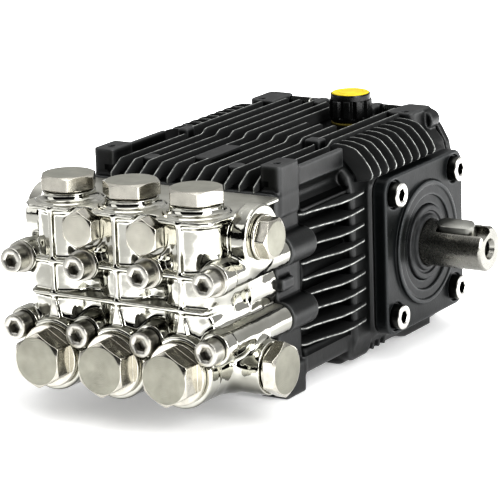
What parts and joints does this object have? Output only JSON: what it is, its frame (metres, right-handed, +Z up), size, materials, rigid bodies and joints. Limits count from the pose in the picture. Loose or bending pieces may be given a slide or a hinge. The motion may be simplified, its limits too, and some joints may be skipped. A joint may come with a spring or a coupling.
{
  "type": "pressure washer pump",
  "caption": "Triplex plunger pump for a pressure washer: finned black crankcase, keyed crankshaft with rods and plungers, and a bright valve head with screwed caps.",
  "frame": {"origin": "on the flat underside of the crankcase, straight below the crankshaft axis and in line with the middle plunger", "axes": "+X along the crankshaft towards its drive end, -Y towards the valve head, +Z up"},
  "size_m": [0.18, 0.2704, 0.1288],
  "materials": {
    "casting": "satin black paint over a cast surface",
    "cover": "grey-black semi-gloss coating",
    "nickel": "bright nickel plate over a forged and machined brass body",
    "cap_steel": "turned and plated, slightly warm, satin",
    "steel": "ground and turned steel",
    "bolt_steel": "grey zinc on cap screws",
    "ceramic": "polished white ceramic",
    "rubber": "black nitrile rubber",
    "aluminium": "die-cast aluminium",
    "black_plastic": "moulded black plastic",
    "yellow_plastic": "moulded yellow plastic insert",
    "yellow_rubber": "yellowish sealing ring",
    "glass": "clear oil sight glass"
  },
  "bodies": {
    "housing": {"crankcase": "casting", "rear_cover": "casting", "drive_bearing_cover": "cover", "blind_bearing_cover": "cover", "valve_head": "nickel", "outlet_plug": "cap_steel", "inlet_plug": "cap_steel", "gallery_plug_left": "cap_steel", "gallery_plug_right": "cap_steel", "suction_cap_left": "cap_steel", "delivery_cap_left": "cap_steel", "suction_cap_middle": "cap_steel", "delivery_cap_middle": "cap_steel", "suction_cap_right": "cap_steel", "delivery_cap_right": "cap_steel", "drive_bearing": "steel", "blind_bearing": "steel", "oil_drain_plug": "steel", "lug_screw_left": "bolt_steel", "lug_screw_right": "bolt_steel", "head_bolt_upper_1": "bolt_steel", "head_bolt_lower_1": "bolt_steel", "head_bolt_upper_2": "bolt_steel", "head_bolt_lower_2": "bolt_steel", "head_bolt_upper_3": "bolt_steel", "head_bolt_lower_3": "bolt_steel", "head_bolt_upper_4": "bolt_steel", "head_bolt_lower_4": "bolt_steel", "cover_bolt_upper_front": "bolt_steel", "cover_bolt_upper_rear": "bolt_steel", "cover_bolt_lower_front": "bolt_steel", "cover_bolt_lower_rear": "bolt_steel", "shaft_seal": "rubber", "plunger_packing_left": "rubber", "plunger_packing_middle": "rubber", "plunger_packing_right": "rubber", "oil_cap_gasket": "yellow_rubber", "oil_sight_glass": "glass"},
    "crankshaft": {"crankshaft": "steel", "shaft_key": "steel"},
    "oil_cap": {"oil_cap": "black_plastic", "oil_cap_disc": "yellow_plastic"},
    "rod_left": {"connecting_rod_left": "aluminium", "wrist_pin_left": "steel"},
    "plunger_left": {"crosshead_left": "aluminium", "plunger_left": "ceramic"},
    "suction_valve_left": {"suction_valve_left": "steel"},
    "delivery_valve_left": {"delivery_valve_left": "steel"},
    "rod_middle": {"connecting_rod_middle": "aluminium", "wrist_pin_middle": "steel"},
    "plunger_middle": {"crosshead_middle": "aluminium", "plunger_middle": "ceramic"},
    "suction_valve_middle": {"suction_valve_middle": "steel"},
    "delivery_valve_middle": {"delivery_valve_middle": "steel"},
    "rod_right": {"connecting_rod_right": "aluminium", "wrist_pin_right": "steel"},
    "plunger_right": {"crosshead_right": "aluminium", "plunger_right": "ceramic"},
    "suction_valve_right": {"suction_valve_right": "steel"},
    "delivery_valve_right": {"delivery_valve_right": "steel"}
  },
  "joints": [
    {"name": "crankshaft_spin", "type": "hinge", "parent": "housing", "child": "crankshaft", "pos_m": [0, 0, 0.055], "axis": [1, 0, 0], "continuous": true},
    {"name": "rod_left_crankpin", "type": "hinge", "parent": "crankshaft", "child": "rod_left", "pos_m": [-0.0375, 0.005, 0.055], "axis": [1, 0, 0], "continuous": true},
    {"name": "plunger_left_slide", "type": "slide", "parent": "housing", "child": "plunger_left", "axis": [0, 1, 0], "range_m": [-0.005, 0.005]},
    {"name": "suction_valve_left_lift", "type": "slide", "parent": "housing", "child": "suction_valve_left", "axis": [0, -1, 0], "range_m": [0, 0.0025], "stiffness_N_per_m": 300, "springref_m": -0.004},
    {"name": "delivery_valve_left_lift", "type": "slide", "parent": "housing", "child": "delivery_valve_left", "axis": [0, 0, 1], "range_m": [0, 0.0025], "stiffness_N_per_m": 300, "springref_m": -0.004},
    {"name": "rod_middle_crankpin", "type": "hinge", "parent": "crankshaft", "child": "rod_middle", "pos_m": [0, -0.0025, 0.05933], "axis": [1, 0, 0], "continuous": true},
    {"name": "plunger_middle_slide", "type": "slide", "parent": "housing", "child": "plunger_middle", "axis": [0, 1, 0], "range_m": [-0.005, 0.005]},
    {"name": "suction_valve_middle_lift", "type": "slide", "parent": "housing", "child": "suction_valve_middle", "axis": [0, -1, 0], "range_m": [0, 0.0025], "stiffness_N_per_m": 300, "springref_m": -0.004},
    {"name": "delivery_valve_middle_lift", "type": "slide", "parent": "housing", "child": "delivery_valve_middle", "axis": [0, 0, 1], "range_m": [0, 0.0025], "stiffness_N_per_m": 300, "springref_m": -0.004},
    {"name": "rod_right_crankpin", "type": "hinge", "parent": "crankshaft", "child": "rod_right", "pos_m": [0.0375, -0.0025, 0.05067], "axis": [1, 0, 0], "continuous": true},
    {"name": "plunger_right_slide", "type": "slide", "parent": "housing", "child": "plunger_right", "axis": [0, 1, 0], "range_m": [-0.005, 0.005]},
    {"name": "suction_valve_right_lift", "type": "slide", "parent": "housing", "child": "suction_valve_right", "axis": [0, -1, 0], "range_m": [0, 0.0025], "stiffness_N_per_m": 300, "springref_m": -0.004},
    {"name": "delivery_valve_right_lift", "type": "slide", "parent": "housing", "child": "delivery_valve_right", "axis": [0, 0, 1], "range_m": [0, 0.0025], "stiffness_N_per_m": 300, "springref_m": -0.004},
    {"name": "oil_cap_lift", "type": "slide", "parent": "housing", "child": "oil_cap", "axis": [0, 0, 1], "range_m": [0, 0.03]}
  ],
  "couplings": [
    {"joint": "rod_left_crankpin", "follows": "crankshaft_spin", "ratio": -1},
    {"joint": "rod_middle_crankpin", "follows": "crankshaft_spin", "ratio": -1},
    {"joint": "rod_right_crankpin", "follows": "crankshaft_spin", "ratio": -1}
  ]
}
